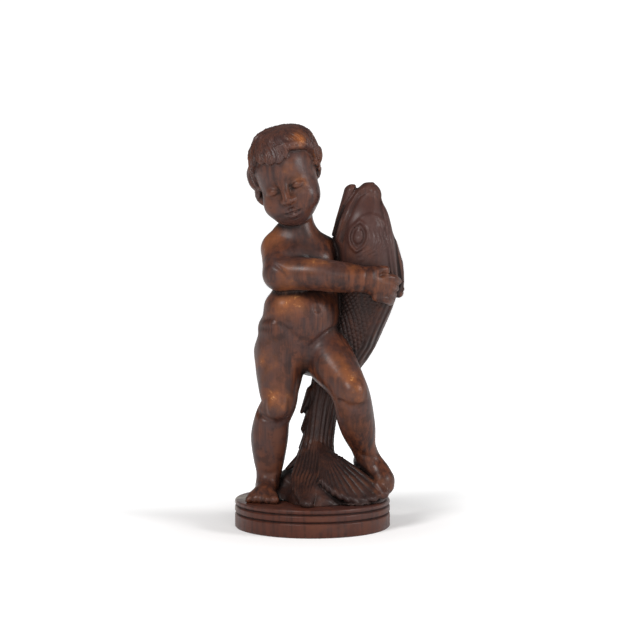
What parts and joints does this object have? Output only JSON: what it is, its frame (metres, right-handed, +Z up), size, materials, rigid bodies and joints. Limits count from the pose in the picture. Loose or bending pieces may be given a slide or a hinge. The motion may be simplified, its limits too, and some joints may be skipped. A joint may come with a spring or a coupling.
{
  "type": "wooden cherub statue",
  "caption": "Carved wooden statue of a standing cherub clasping a tall upright fish, on a mound and a low round moulded plinth.",
  "frame": {"origin": "centre of the round plinth's underside", "axes": "+Z up through the plinth's axis, -Y towards the front of the figure, +X towards the fish"},
  "size_m": [0.1857, 0.17, 0.4389],
  "materials": {
    "stained_wood": "dark red-brown stain under worn satin varnish"
  },
  "bodies": {
    "root": {"cherub_and_fish_statue": "stained_wood"}
  },
  "joints": []
}
